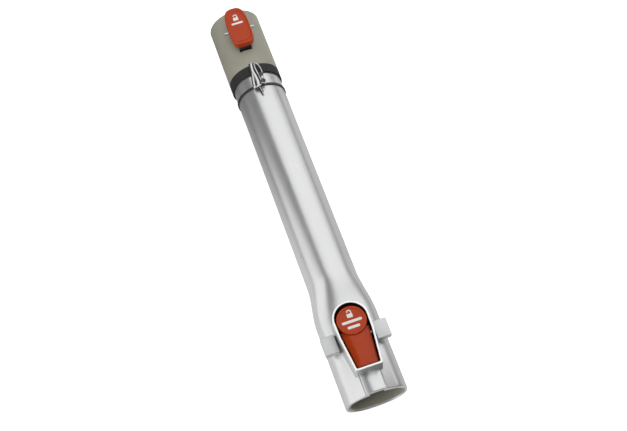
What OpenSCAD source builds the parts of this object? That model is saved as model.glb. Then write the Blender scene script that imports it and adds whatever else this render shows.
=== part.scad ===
// Vacuum extension wand, lying on its back with its buttons up.
// Y runs along the wand: the floor-head mouth is at -Y and the handle end at +Y.
// The origin is on the floor, under the middle of the wand's length.
// Heights of parts on the wand are measured from the tube's axis.

/* [Tube] */
// Whole length of the wand
wand_len = 354; // [340:1:420]
// Outside diameter of the round tube
tube_d = 40; // [39:0.5:41]
// Wall of the round tube
tube_wall = 2; // [1.8:0.1:2.4]

/* [Lower socket] */
// Length of the oval socket, from its mouth to the flare
socket_len = 66; // [64:1:80]
// Length of the flare between the round tube and the oval socket
flare_len = 33; // [28:1:45]
// Outside width of the oval socket
socket_w = 47.9; // [46:0.1:50]
// Outside height of the oval socket
socket_h = 33; // [32:0.5:35]
// How far the socket's centre lies below the tube's axis
socket_drop = 3; // [2:0.1:3.5]
// Squareness of the oval: 2 is an ellipse
socket_square = 2.3; // [2:0.1:2.6]
// Wall of the socket
socket_wall = 2.4; // [2:0.1:2.8]
// Depth of the grey liner in the socket
liner_len = 58; // [50:1:59]
// Wall of the liner
liner_wall = 1.5; // [1.2:0.1:1.8]

/* [Key channel and lugs] */
// Width of the raised key channel in front of the lower button
channel_w = 14.8; // [13:0.1:16]
// How far the channel's roof stands above the socket
channel_rise = 3.1; // [2.5:0.1:4]
// Roof and side wall of the channel
channel_wall = 1.8; // [1.5:0.1:2.2]
// Span over both guide lugs
lug_span = 51.4; // [50:0.1:54]
// Length of a guide lug along the wand
lug_len = 14.4; // [12:0.1:16]
// How far the lugs' flat faces stand above the socket
lug_rise = 1.5; // [0.5:0.1:2.5]
// Thickness of the lugs
lug_t = 5.2; // [4:0.1:6]
// Distance from the mouth to the middle of the lugs
lug_from_mouth = 44.8; // [42:0.1:46]

/* [Handle collar] */
// Diameter of the bore that takes the handle
handle_d = 39; // [38.5:0.1:39.2]
// Wall of the grey sleeve in the collar
sleeve_wall = 1.95; // [1.8:0.05:2]
// Wall of the collar at its rim
collar_wall = 2.5; // [2.2:0.1:3.5]
// How much smaller the collar's radius is where its shoulder begins
collar_taper = 0.5; // [0.2:0.1:0.8]
// Wall of the collar at the lip on the tube
lip_wall = 1.8; // [1.6:0.1:2]
// Length of the collar
collar_len = 94; // [92:1:100]
// Length of the rounded shoulder next to the lip
shoulder_len = 18; // [14:1:22]
// How much of the tube is inside the collar
tube_in_collar = 27; // [24:1:28]

/* [Handle button] */
// Width of the opening in the button's frame
hb_open_w = 21.1; // [20:0.1:22]
// Length of that opening
hb_open_len = 40; // [39:0.1:41]
// Width of the frame's rim
hb_rim = 1.95; // [1.6:0.05:2.2]
// How far the frame's rim stands above the collar's end
hb_rise = 7; // [6.8:0.1:8]
// Distance from the collar's end to the frame
hb_setback = 1.1; // [1:0.1:3]
// How far the frame's lower end slopes out for each millimetre of height
hb_slope = 0.4; // [0.2:0.05:0.45]
// Gap all round the button
hb_gap = 1.2; // [1:0.05:1.4]
// Depth of the thumb dish in the button
hb_dish = 1; // [0.6:0.1:1.2]

/* [Wand button] */
// Radius of the round end of the keyhole opening
wb_open_r = 12.25; // [12:0.05:12.6]
// Half width of the opening at its far end
wb_end_half = 9.15; // [8.8:0.05:9.6]
// Distance from the mouth to the far end of the opening
wb_end_from_mouth = 16.8; // [16.5:0.1:19]
// Length from the far end to the centre of the round end
wb_open_len = 38.1; // [37:0.1:39]
// Width of the frame's rim
wb_rim = 1.6; // [1.4:0.05:1.8]
// How far the frame's rim stands above the socket
wb_rise = 14; // [13.5:0.1:15]
// Gap all round the button
wb_gap = 1; // [0.8:0.05:1.2]
// Depth of the thumb dish in the press pad
wb_dish = 0.7; // [0.4:0.1:0.9]
// Crown radius of the plate below the pad
plate_crown = 30; // [24:1:60]

/* [Latches] */
// Turn of a button from rest to fully pressed, in degrees
press_angle = 9; // [8:0.5:9]
// Diameter of the pivot pins
pin_d = 2.5; // [2:0.1:3]
// Width of the latch teeth
tooth_w = 10; // [8:0.5:11]
// How far a tooth stands into its socket
tooth_bite = 1.8; // [1.4:0.1:2]

/* [Springs and seals] */
// Wire of the return springs
spring_wire = 0.7; // [0.5:0.1:0.8]
// Number of working turns
spring_turns = 3.5; // [3:0.5:4]
// Free lip of the rubber seals, past the bore they close
seal_lip = 0.5; // [0.3:0.1:0.8]

/* [Tool clip] */
// Width of the tool clip on the collar
clip_w = 12.6; // [12:0.1:14]
// Length of the tool clip
clip_len = 31.6; // [31:0.1:34]
// Distance from the collar's lip to the clip
clip_from_lip = 5.3; // [5:0.1:7]

/* [Fits] */
// Gap where a fixed piece sits in or on another
seat = 0.05; // [0.02:0.01:0.08]
// Gap between a pivot pin and the lever that turns on it
running = 0.05; // [0.03:0.01:0.08]
// Gap beside parts that move in an opening
clear = 0.6; // [0.4:0.1:0.7]

/* [Hidden] */
$fn = 72;
ring_n = 72;
root_inset = 0.06;
tube_r = tube_d / 2;
bore_r = tube_r - tube_wall;
y_mouth = -wand_len / 2;
y_end = wand_len / 2;
y_flare_low = y_mouth + socket_len;
y_flare_top = y_flare_low + flare_len;
y_seam = y_end - collar_len;
y_tube_end = y_seam + tube_in_collar;

// Buttons
pin_r = pin_d / 2;
skirt = 1.7;
skirt_h = 2.1;
cap_edge = 0.7;
hub_gap = 0.2;
stop_gap = 1.6;
stop_t = 3;

// Handle end
neck_r = tube_r + seat;
lip_r = neck_r + lip_wall;
sleeve_r = handle_d / 2;
sleeve_out_r = sleeve_r + sleeve_wall;
chamber_r = sleeve_out_r + seat;
collar_r = max(chamber_r, neck_r) + collar_wall;
waist_r = collar_r - collar_taper;
axis_z = collar_r;
lip_round = 0.9;
rim_chamfer = 0.6;
frame_edge = 0.5;
seal_len = 8.5;
y_sleeve = y_tube_end + seal_len + 2 * seat;
sleeve_recess = 0.5;
relief = 0.4;
entry_gain = 0.15;

hb_rim_z = collar_r + hb_rise;
hb_w = hb_open_w - 2 * hb_gap;
hb_y_top = y_end - hb_setback - hb_rim;
hb_y_low = hb_y_top - hb_open_len;
hb_mid = (hb_y_top + hb_y_low) / 2;
hb_floor = chamber_r + 0.9;
hb_top_z = hb_rim_z - 0.4;
hb_pin_y = hb_mid - 1;
hb_pin_z = hb_floor + 3;
hb_tooth_y = hb_y_low + 2.2;
hb_tooth_t = 3.4;
hb_tip_z = sleeve_r - tooth_bite;
hb_lever_z = hb_floor + 3.6;
hb_cap_z = hb_floor + 3.8;
hb_plate_top = hb_cap_z + skirt_h;
hb_hub_r = pin_r + 1.2;
hb_spring_y = hb_pin_y + 9;
hb_spring_r = 2.6;

// Lower end
socket_top = socket_h / 2 - socket_drop;
channel_top = socket_top + channel_rise;
lug_top = socket_top + lug_rise;
liner_top_z = socket_top - socket_wall - seat - liner_wall;
wb_rim_z = socket_top + wb_rise;
pad_r = wb_open_r - wb_gap;
wb_y_low = y_mouth + wb_end_from_mouth;
wb_y_c = wb_y_low + wb_open_len;
wb_floor = socket_top + 1;
wb_pin_y = wb_y_c - 12.4;
wb_pin_z = wb_rim_z - 7.5;
wb_cap_z = wb_rim_z - 5.5;
wb_top_z = wb_rim_z - 0.3;
wb_plate_z = wb_rim_z - 1.7;
wb_lever_z = wb_cap_z - 0.5;
wb_plate_top = wb_cap_z + skirt_h;
wb_hub_r = pin_r + 2;
pad_y = wb_y_c - 1.5;
wb_tooth_y = wb_y_low + 4.2;
wb_tooth_t = 4;
wb_tip_z = liner_top_z - tooth_bite;
wb_spring_r = 3.2;
wb_end_y = wb_y_low + wb_gap;
wb_cap_half = wb_end_half - wb_gap;
wb_neck_y = wb_pin_y + 4;

window_w = tooth_w + 2 * clear;
lug_y = y_mouth + lug_from_mouth;
lug_in = wb_open_r + wb_rim + 1.2;
clip_y = y_seam + clip_from_lip + clip_len / 2;
clip_top = collar_r + 0.8;
clip_root = collar_r - 4;
screw_x = 3.6;
screw_y = [clip_y + 1.6, clip_y - 5.2];
screw_head_r = 1.9;
screw_r = 0.9;
screw_dome = 0.9;
screw_seat_z = clip_top - 0.3;

// Windows of the teeth, long enough for their swing, and the collar's lock
hb_win_y0 = hb_tooth_y - swing(hb_pin_z, hb_tip_z) - clear;
hb_win_y1 = hb_tooth_y + hb_tooth_t + clear;
wb_win_y0 = wb_tooth_y - swing(wb_pin_z, wb_tip_z) - clear;
wb_win_y1 = wb_tooth_y + wb_tooth_t + clear;
channel_in = channel_w / 2 - channel_wall;
lock_from_lip = 14;
lock_w = 14;
lock_t = 2;
lock_depth = 0.8;
lock_y = y_seam + lock_from_lip;
screw_tip_z = neck_r + lock_depth + 0.35;

silver = "#c9cacc";
red = "#b83c26";
dark = "#3a3b3c";
grey = "#6c6e66";

function mix(a, b, t) = a + (b - a) * t;
function ease(t) = let (u = max(0, min(1, t))) u * u * (3 - 2 * u);
function spow(v, e) = sign(v) * pow(abs(v), e);

// How far the tip of a tooth swings back when its button is pressed.
function swing(pin_z, tip_z) = (pin_z - tip_z) * sin(press_angle);

// Radius of a ball that sinks by depth into a circle of radius r.
function dish_r(r, depth) = (r * r + depth * depth) / (2 * depth);

// Turns a model built along +Z so that it runs along +Y from y0.
module along_y(y0) {
    translate([0, y0, 0])
        rotate([-90, 0, 0])
            children();
}

// Each piece is drawn around the tube's axis and then lifted to its height over the floor.
module on_axis() {
    translate([0, 0, axis_z])
        children();
}

// A bar across the wand at y, z, of radius r and whole length len.
module cross_bar(y, z, r, len) {
    translate([-len / 2, y, z])
        rotate([0, 90, 0])
            cylinder(r = r, h = len);
}

// Solid through a list of rings of points, each ring anticlockwise for one who looks back
// from the last ring. A closed one joins its last ring to its first.
module loft(rings, closed = false) {
    n = len(rings[0]);
    m = len(rings);
    last = closed ? m - 1 : m - 2;
    sides = [for (j = [0:last], i = [0:n - 1])
        [j * n + i, (j + 1) % m * n + i, (j + 1) % m * n + (i + 1) % n, j * n + (i + 1) % n]];
    caps = closed ? [] : [[for (i = [0:n - 1]) i], [for (i = [n - 1:-1:0]) (m - 1) * n + i]];
    polyhedron(points = [for (r = rings, p = r) p], faces = concat(sides, caps), convexity = 6);
}

// Section of the wand below the round tube, drawn inwards by inset.
function flare_at(y) = ease((y_flare_top - y) / flare_len);
function section(y, inset = 0) = let (
        t = flare_at(y),
        w = mix(tube_r, socket_w / 2, t) - inset,
        h = mix(tube_r, socket_h / 2, t) - inset,
        e = 2 / mix(2, socket_square, t)
    ) [for (i = [0:ring_n - 1]) let (a = -360 * i / ring_n)
        [w * spow(cos(a), e), h * spow(sin(a), e) - socket_drop * t]];
function ring_at(y, inset) = [for (p = section(y, inset)) [p[0], y, p[1]]];

// The socket's straight part as a prism from y0 to y1.
module socket_prism(y0, y1, inset) {
    translate([0, y1, 0])
        rotate([90, 0, 0])
            linear_extrude(height = y1 - y0)
                polygon(section(y_mouth, inset));
}

// Outline of the handle button's frame: rounder at the handle end than at the low end.
function barrel(half_w, y0, y1) = let (mid = (y0 + y1) / 2, half_l = (y1 - y0) / 2)
    [for (i = [0:ring_n - 1]) let (a = 360 * i / ring_n, e = sin(a) > 0 ? 0.66 : 0.42)
        [half_w * spow(cos(a), e), mid + half_l * spow(sin(a), e)]];

// Outline of the lower button's keyhole frame, grown outwards by g.
function keyhole(g, tip = 0) = let (
        r = wb_open_r + g,
        shoulder = [wb_open_r - 0.3 + g, wb_y_c - 11.9],
        low = [wb_end_half + 0.8 * g, wb_y_low - g - tip]
    ) concat(
        [for (a = [0:7.5:180]) [r * cos(a), wb_y_c + r * sin(a)]],
        [[-shoulder[0], shoulder[1]], [-low[0], low[1] + 1.2], [-low[0] + 1.2, low[1]],
            [low[0] - 1.2, low[1]], [low[0], low[1] + 1.2], [shoulder[0], shoulder[1]]]);

function lift(outline, z) = [for (p = outline) [p[0], p[1], z]];

// Return spring standing on z0, as a wire swept along a helix.
module coil(r, h, turns) {
    w = spring_wire / 2;
    steps = turns * 16;
    rings = [for (k = [0:steps]) let (a = 360 * k / 16, z = mix(w, h - w, ease(k / steps)))
        [for (i = [0:7]) let (b = -45 * i)
            [(r + w * cos(b)) * cos(a), (r + w * cos(b)) * sin(a), z + w * sin(b)]]];
    loft(rings);
}

// Bar of width w across the wand, with its side view given as points in Y and Z.
module across(w, side) {
    translate([-w / 2, 0, 0])
        rotate([90, 0, 90])
            linear_extrude(height = w)
                polygon(side);
}

// Box across the wand from y0 to y1 and z0 to z1.
module block(w, y0, y1, z0, z1) {
    translate([-w / 2, y0, z0])
        cube([w, y1 - y0, z1 - z0]);
}

// Ring round the wand from y0 to y1.
module hoop(y0, y1, r_in, r_out) {
    along_y(y0)
        difference() {
            cylinder(r = r_out, h = y1 - y0);
            translate([0, 0, -1])
                cylinder(r = r_in, h = y1 - y0 + 2);
        }
}

module hb_window() {
    block(window_w, hb_win_y0, hb_win_y1, hb_tip_z - 4, hb_floor + 1);
}

module wb_window() {
    block(window_w, wb_win_y0, wb_win_y1, wb_tip_z - 3, wb_floor + 1);
}

module key_slot() {
    block(2 * channel_in, y_mouth - 1, wb_win_y0 + 1, 0, channel_top - channel_wall);
}

// Roof and side walls of the key channel, as a solid ridge with bevelled edges.
module key_channel() {
    half = channel_w / 2;
    translate([0, wb_y_low, 0])
        rotate([90, 0, 0])
            linear_extrude(height = wb_y_low - y_mouth)
                polygon([[-half, 5], [-half, channel_top - rim_chamfer], [-half + rim_chamfer, channel_top],
                    [half - rim_chamfer, channel_top], [half, channel_top - rim_chamfer], [half, 5]]);
}

// Keyhole frame of the lower button, as a solid stump.
module wand_frame() {
    loft([lift(keyhole(wb_rim + 0.5, 0.5), wb_floor - 6.5), lift(keyhole(wb_rim), wb_rim_z - frame_edge),
        lift(keyhole(wb_rim - frame_edge), wb_rim_z)]);
}

// Flat lugs that guide the wand into the floor head, each on its own web.
module guide_lugs() {
    for (side = [0, 1])
        mirror([side, 0, 0])
            translate([lug_in, lug_y - lug_len / 2, 0]) {
                translate([0, 0, lug_top - lug_t])
                    cube([lug_span / 2 - lug_in, lug_len, lug_t]);
                translate([0, 0, wb_floor - 7])
                    cube([3.4, lug_len, lug_top - wb_floor + 7]);
            }
}

// Flare between the socket and the round tube. Its upper end stands in the tube's wall.
module flare() {
    n = 12;
    y = [for (k = [0:n]) mix(y_flare_low, y_flare_top, k / n)];
    wall = [for (k = [0:n]) mix(socket_wall, tube_wall, k / n)];
    root = y_flare_top + 0.5;
    loft(concat(
        [for (k = [0:n]) ring_at(y[k], k == n ? root_inset : 0)], [ring_at(root, root_inset)],
        [ring_at(root, tube_wall - root_inset)],
        [for (k = [n:-1:0]) ring_at(y[k], k == n ? tube_wall - root_inset : wall[k])]),
        closed = true);
}

module wand_tube() {
    color(silver)
        on_axis()
            difference() {
                union() {
                    hoop(y_flare_top, y_tube_end, bore_r, tube_r);
                    flare();
                    socket_prism(y_mouth, y_flare_low, 0);
                    wand_frame();
                    guide_lugs();
                    key_channel();
                }
                socket_prism(y_mouth - 1, y_flare_low, socket_wall);
                translate([0, 0, wb_floor])
                    linear_extrude(height = wb_rim_z)
                        polygon(keyhole(0));
                wb_window();
                key_slot();
                cross_bar(wb_pin_y, wb_pin_z, pin_r + seat, socket_w);
                hoop(lock_y, lock_y + lock_t + seat, tube_r - lock_depth - seat, tube_r + 1);
            }
}

module socket_liner() {
    y0 = y_mouth + 0.6;
    color(grey)
        on_axis()
            difference() {
                socket_prism(y0, y0 + liner_len, socket_wall + seat);
                socket_prism(y0 - 1, y0 + liner_len + 1, socket_wall + seat + liner_wall);
                wb_window();
                key_slot();
            }
}

module neck_seal() {
    y0 = y_mouth + 0.6 + liner_len + seat;
    y1 = y_flare_low - 0.3;
    color(dark)
        on_axis()
            difference() {
                socket_prism(y0, y1, socket_wall + seat);
                socket_prism(y0 - 1, y0 + 1.4, socket_wall + liner_wall + seal_lip);
                socket_prism(y0 + 1.3, y1 + 1, socket_wall + liner_wall);
            }
}

// Half width of the lower button's plate, which widens from its low end to the pad.
function wb_half(y) = mix(wb_cap_half, pad_r - 0.3, (y - wb_end_y) / (wb_neck_y - wb_end_y));

// Flat outline of the lower button, drawn inwards by g.
module wand_button_plan(g) {
    translate([0, pad_y])
        circle(r = pad_r - g);
    polygon([[-wb_half(wb_neck_y) + g, wb_neck_y], [-wb_cap_half + g, wb_end_y + g],
        [wb_cap_half - g, wb_end_y + g], [wb_half(wb_neck_y) - g, wb_neck_y]]);
}

module wand_lever() {
    y = wb_tooth_y;
    hub = 2 * (wb_half(wb_pin_y - wb_hub_r) - skirt - hub_gap);
    color(dark)
        on_axis()
            difference() {
                union() {
                    translate([0, 0, wb_lever_z])
                        linear_extrude(height = wb_plate_top - wb_lever_z)
                            wand_button_plan(skirt);
                    cross_bar(wb_pin_y, wb_pin_z, wb_hub_r, hub);
                    across(tooth_w, [[y, wb_lever_z + 1], [y, wb_tip_z + 2.6], [y + 2, wb_tip_z],
                        [y + wb_tooth_t, wb_tip_z], [y + wb_tooth_t, wb_lever_z + 1]]);
                    block(tooth_w, wb_win_y1 + stop_gap, wb_win_y1 + stop_gap + stop_t, wb_floor + seat,
                        wb_lever_z + 1);
                }
                cross_bar(wb_pin_y, wb_pin_z, pin_r + running, socket_w);
                translate([0, pad_y, wb_lever_z - 1])
                    cylinder(r = wb_spring_r + clear, h = 2);
            }
}

module wand_button() {
    pad_h = wb_top_z - wb_cap_z - cap_edge;
    dish = dish_r(pad_r - cap_edge, wb_dish);
    color(red)
        on_axis()
            difference() {
                union() {
                    translate([0, pad_y, wb_cap_z])
                        cylinder(r = pad_r, h = pad_h);
                    translate([0, pad_y, wb_cap_z + pad_h])
                        cylinder(r1 = pad_r, r2 = pad_r - cap_edge, h = cap_edge);
                    intersection() {
                        translate([0, 0, wb_cap_z])
                            linear_extrude(height = wb_plate_z - wb_cap_z)
                                wand_button_plan(0);
                        along_y(wb_end_y)
                            translate([0, plate_crown - wb_plate_z])
                                cylinder(r = plate_crown, h = pad_y - wb_end_y, $fn = 240);
                    }
                }
                translate([0, 0, wb_plate_top + seat - 2 * skirt_h])
                    linear_extrude(height = 2 * skirt_h)
                        wand_button_plan(skirt - seat);
                translate([0, pad_y, wb_top_z - wb_dish + dish])
                    sphere(r = dish, $fn = 120);
            }
}

module wand_button_pin() {
    color(grey)
        on_axis()
            cross_bar(wb_pin_y, wb_pin_z, pin_r, 2 * (wb_open_r + wb_rim) - 1);
}

module wand_button_spring() {
    color(grey)
        on_axis()
            translate([0, pad_y, wb_floor + 0.02])
                coil(wb_spring_r, wb_lever_z + 1 - wb_floor - 0.04, spring_turns + 1);
}

// Outside of the collar as a solid of revolution, drawn from the lip upwards.
module collar_body() {
    arc_r = dish_r(shoulder_len, waist_r - lip_r);
    along_y(y_seam)
        rotate_extrude($fn = 180)
            difference() {
                union() {
                    polygon([[0, shoulder_len], [waist_r, shoulder_len],
                        [collar_r, collar_len - rim_chamfer], [collar_r - rim_chamfer, collar_len],
                        [0, collar_len]]);
                    intersection() {
                        square([waist_r, shoulder_len]);
                        translate([waist_r - arc_r, shoulder_len])
                            circle(r = arc_r, $fn = 240);
                    }
                }
                difference() {
                    translate([lip_r - lip_round, -1])
                        square([5, lip_round + 1]);
                    translate([lip_r - lip_round, lip_round])
                        circle(r = lip_round);
                }
            }
}

// Frame round the handle button, as a solid stump with a sloping low end.
module handle_frame() {
    base_z = hb_floor - 7.5;
    half = hb_open_w / 2 + hb_rim;
    low = hb_y_low - hb_rim;
    high = hb_y_top + hb_rim;
    loft([lift(barrel(half + 1, low - hb_slope * (hb_rim_z - base_z), high), base_z),
        lift(barrel(half, low, high), hb_rim_z - frame_edge),
        lift(barrel(half - frame_edge, low + frame_edge, high - frame_edge), hb_rim_z)]);
}

module handle_collar() {
    color(silver)
        on_axis()
            difference() {
                union() {
                    collar_body();
                    handle_frame();
                }
                along_y(y_seam - 1)
                    cylinder(r = neck_r, h = collar_len);
                along_y(y_tube_end)
                    cylinder(r = chamber_r, h = collar_len);
                translate([0, 0, hb_floor])
                    linear_extrude(height = hb_rim_z)
                        polygon(barrel(hb_open_w / 2, hb_y_low, hb_y_top));
                hb_window();
                cross_bar(hb_pin_y, hb_pin_z, pin_r + seat, 2 * collar_r);
                hoop(lock_y - seat, lock_y + lock_t + seat, tube_r - 1, tube_r + lock_depth + 2 * seat);
                for (y = screw_y)
                    clip_place(y)
                        cylinder(r = screw_r + seat, h = 2 * collar_r);
            }
}

module collar_lock_ring() {
    color(grey)
        on_axis()
            difference() {
                hoop(lock_y + seat / 2, lock_y + lock_t, tube_r - lock_depth, tube_r + lock_depth);
                block(lock_w, lock_y - 1, lock_y + lock_t + 1, -tube_r - 2 * lock_depth, 0);
            }
}

module handle_sleeve() {
    y1 = y_end - sleeve_recess;
    color(grey)
        on_axis()
            difference() {
                hoop(y_sleeve, y1, sleeve_r, sleeve_out_r);
                along_y(hb_win_y0 - 1.5)
                    cylinder(r = sleeve_r + relief, h = hb_win_y1 - hb_win_y0 + 3);
                along_y(hb_win_y1 + 1)
                    cylinder(r = sleeve_r + entry_gain, h = handle_d * 2);
                along_y(y1 - 0.8)
                    cylinder(r1 = sleeve_r + entry_gain, r2 = sleeve_r + 1.2, h = 0.9);
                hb_window();
            }
}

module handle_seal() {
    y0 = y_tube_end + seat;
    out = chamber_r - seat;
    color(dark)
        on_axis()
            along_y(y0)
                rotate_extrude()
                    polygon([[tube_r - 1.4, 0], [out, 0], [out, seal_len], [sleeve_r + 0.3, seal_len],
                        [sleeve_r - seal_lip, seal_len - 1.6], [sleeve_r - seal_lip, seal_len - 2.4],
                        [sleeve_r + 0.3, seal_len - 3.2], [sleeve_r + 0.3, 1.4], [tube_r - 1.4, 1.4]]);
}

// Outline of the upper button, drawn inwards by g.
function handle_cap_outline(g) = barrel(hb_w / 2 - g, hb_y_low + hb_gap + g, hb_y_top - hb_gap - g);

module handle_button_plan(g) {
    polygon(handle_cap_outline(g));
}

module handle_lever() {
    y = hb_tooth_y;
    hub = hb_w - 2 * (skirt + hub_gap);
    color(dark)
        on_axis()
            difference() {
                union() {
                    translate([0, 0, hb_lever_z])
                        linear_extrude(height = hb_plate_top - hb_lever_z)
                            handle_button_plan(skirt);
                    cross_bar(hb_pin_y, hb_pin_z, hb_hub_r, hub);
                    block(hub, hb_pin_y - hb_hub_r, hb_pin_y + hb_hub_r, hb_pin_z, hb_lever_z + 1);
                    across(tooth_w, [[y + 1.3, hb_lever_z + 1], [y + 1.3, hb_cap_z - 0.3],
                        [y, hb_cap_z - 1.6], [y, hb_tip_z], [y + 1.6, hb_tip_z],
                        [y + hb_tooth_t, hb_tip_z + 2.2], [y + hb_tooth_t, hb_lever_z + 1]]);
                    block(tooth_w, hb_win_y1 + stop_gap, hb_win_y1 + stop_gap + stop_t, hb_floor + seat,
                        hb_lever_z + 1);
                }
                cross_bar(hb_pin_y, hb_pin_z, pin_r + running, 2 * collar_r);
                translate([0, hb_spring_y, hb_lever_z - 1])
                    cylinder(r = hb_spring_r + clear, h = 2.2);
            }
}

module handle_button() {
    dish = dish_r(hb_open_len / 2 - hb_gap - 5 * cap_edge, hb_dish);
    color(red)
        on_axis()
            difference() {
                loft([lift(handle_cap_outline(0), hb_cap_z), lift(handle_cap_outline(0), hb_top_z - cap_edge),
                    lift(handle_cap_outline(cap_edge), hb_top_z)]);
                translate([0, 0, hb_plate_top + seat - 2 * skirt_h])
                    linear_extrude(height = 2 * skirt_h)
                        handle_button_plan(skirt - seat);
                cross_bar(hb_pin_y, hb_pin_z, pin_r + clear, 2 * collar_r);
                translate([0, hb_mid, hb_top_z - hb_dish + dish])
                    sphere(r = dish, $fn = 160);
            }
}

module handle_button_pin() {
    color(grey)
        on_axis()
            cross_bar(hb_pin_y, hb_pin_z, pin_r, hb_open_w + 2 * hb_rim + 0.2);
}

module handle_button_spring() {
    color(grey)
        on_axis()
            translate([0, hb_spring_y, hb_floor + 0.02])
                coil(hb_spring_r, hb_lever_z + 1.2 - hb_floor - 0.04, spring_turns);
}

// Puts a part on the collar's neck at y, squarely over the line of the clip's screws.
module clip_place(y) {
    translate([0, y, 0])
        rotate([0, asin(screw_x / waist_r), 0])
            children();
}

// Flat outline of the clip: two long fingers, a bridge and a tab under the screws.
module clip_plan() {
    left = -clip_w / 2 + 0.8;
    for (x = [left + 0.8, left + 4.4])
        translate([x, -clip_len / 2 + 4])
            square([1.8, clip_len - 4]);
    translate([left, -clip_len / 2 + 4])
        square([7.4, 5]);
    translate([left + 4.6, -clip_len / 2])
        square([1.8, 8]);
    translate([left + 5, screw_y[1] - clip_y - 2.4])
        square([clip_w - 6.4, screw_y[0] - screw_y[1] + 4.8]);
}

module tool_clip() {
    color(silver)
        on_axis()
            difference() {
                translate([0, clip_y, clip_root])
                    linear_extrude(height = clip_top - clip_root)
                        clip_plan();
                collar_body();
                for (y = screw_y)
                    clip_place(y) {
                        cylinder(r = screw_r + seat, h = 2 * collar_r);
                        translate([0, 0, screw_seat_z])
                            cylinder(r = screw_head_r + 0.2, h = 3);
                    }
            }
}

// Thin wire hoop beside the fingers, bent round at its upper end.
module clip_wire() {
    wire_r = 0.5;
    half = 1.7;
    y0 = screw_y[0] + 2.6;
    y1 = clip_y + clip_len / 2 - half - wire_r - 2;
    color(silver)
        on_axis()
            rotate([0, asin((screw_x + 0.6) / waist_r), 0])
                translate([0, 0, collar_r + wire_r - 0.25]) {
                    for (x = [-half, half])
                        translate([x, 0, 0])
                            along_y(y0)
                                cylinder(r = wire_r, h = y1 - y0, $fn = 24);
                    translate([0, y1, 0])
                        rotate_extrude(angle = 180, $fn = 48)
                            translate([half, 0])
                                circle(r = wire_r, $fn = 24);
                }
}

// Small domed screw of the clip, in its spot face on the clip's tab.
module clip_screw(y) {
    head_z = screw_seat_z + 0.02;
    dome = dish_r(1.25 * screw_head_r, screw_dome);
    color(dark)
        on_axis()
            clip_place(y) {
                translate([0, 0, screw_tip_z])
                    cylinder(r = screw_r, h = head_z + 0.1 - screw_tip_z);
                intersection() {
                    translate([0, 0, head_z])
                        cylinder(r = screw_head_r, h = 2 * screw_dome);
                    translate([0, 0, head_z + screw_dome - dome])
                        sphere(r = dome);
                }
            }
}

module clip_screw_upper() {
    clip_screw(screw_y[0]);
}

module clip_screw_lower() {
    clip_screw(screw_y[1]);
}

wand_tube();
socket_liner();
neck_seal();
wand_lever();
wand_button();
wand_button_pin();
wand_button_spring();
handle_collar();
collar_lock_ring();
handle_sleeve();
handle_seal();
handle_lever();
handle_button();
handle_button_pin();
handle_button_spring();
tool_clip();
clip_wire();
clip_screw_upper();
clip_screw_lower();
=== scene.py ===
"""Vacuum extension wand on a white floor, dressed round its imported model.

Pieces are modelled in millimetres in the wand's own frame: Y runs along the wand, Z is the height
over the tube's axis. to_scene() turns them into metres and lifts them to their height over the floor.
"""
import math

import bmesh
import bpy
from mathutils import Matrix, Vector


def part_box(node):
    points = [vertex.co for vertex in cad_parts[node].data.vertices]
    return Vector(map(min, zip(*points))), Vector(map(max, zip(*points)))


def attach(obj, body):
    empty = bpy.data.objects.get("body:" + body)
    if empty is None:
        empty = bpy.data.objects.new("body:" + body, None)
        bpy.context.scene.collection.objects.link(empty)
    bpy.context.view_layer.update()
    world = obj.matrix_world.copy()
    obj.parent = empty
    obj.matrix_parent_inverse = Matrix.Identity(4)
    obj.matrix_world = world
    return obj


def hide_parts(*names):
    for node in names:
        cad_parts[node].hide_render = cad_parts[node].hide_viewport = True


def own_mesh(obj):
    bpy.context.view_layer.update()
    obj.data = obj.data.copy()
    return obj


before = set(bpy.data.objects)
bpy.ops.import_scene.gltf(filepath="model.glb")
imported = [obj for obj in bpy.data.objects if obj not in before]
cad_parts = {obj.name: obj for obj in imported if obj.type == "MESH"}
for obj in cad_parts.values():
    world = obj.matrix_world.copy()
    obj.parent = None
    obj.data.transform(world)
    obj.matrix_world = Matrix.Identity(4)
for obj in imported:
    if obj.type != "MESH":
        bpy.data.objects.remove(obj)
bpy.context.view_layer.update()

# Sizes, in millimetres.
MM = 0.001


def span(node, axis):
    """Lowest and highest place of a CAD node along an axis, in millimetres."""
    low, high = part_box(node)
    return low[axis] / MM, high[axis] / MM


Y_MOUTH, TUBE_END = span("wand_tube", 1)
SEAM, Y_END = span("handle_collar", 1)
COLLAR_R = (span("handle_collar", 0)[1] - span("handle_collar", 0)[0]) / 2
AXIS = COLLAR_R                      # the collar's back lies on the floor
HANDLE_RIM = span("handle_collar", 2)[1] - AXIS
WAND_RIM = span("wand_tube", 2)[1] - AXIS

TUBE_R, BORE_R = 20.0, 18.0
FLARE_LOW, FLARE_TOP = Y_MOUTH + 66, Y_MOUTH + 99
SOCKET_HALF_W, SOCKET_HALF_H, SOCKET_DROP, SOCKET_POWER = 23.95, 16.5, 3.0, 2.3
SOCKET_WALL, LINER_WALL, FIT = 2.4, 1.5, 0.05
SOCKET_TOP = SOCKET_HALF_H - SOCKET_DROP

COLLAR_WAIST_R, COLLAR_LIP_R, SHOULDER = COLLAR_R - 0.5, 21.85, 18.0
CHAMBER_R, NECK_R = 21.5, 20.05
SLEEVE_R = 19.5

MOUTH_EDGE, COLLAR_EDGE = 0.7, 0.8   # rounding of the wand's two outer ends
RIM_EDGE = 0.45                      # rounding of the frames' rims
CHANNEL_HALF, CHANNEL_TOP = 7.05, SOCKET_TOP + 3.1
LUG_IN, LUG_OUT = 14.9, 25.7
LUG_Y, LUG_LEN, LUG_TOP, LUG_T = Y_MOUTH + 44.8, 14.4, SOCKET_TOP + 1.5, 5.2

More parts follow.
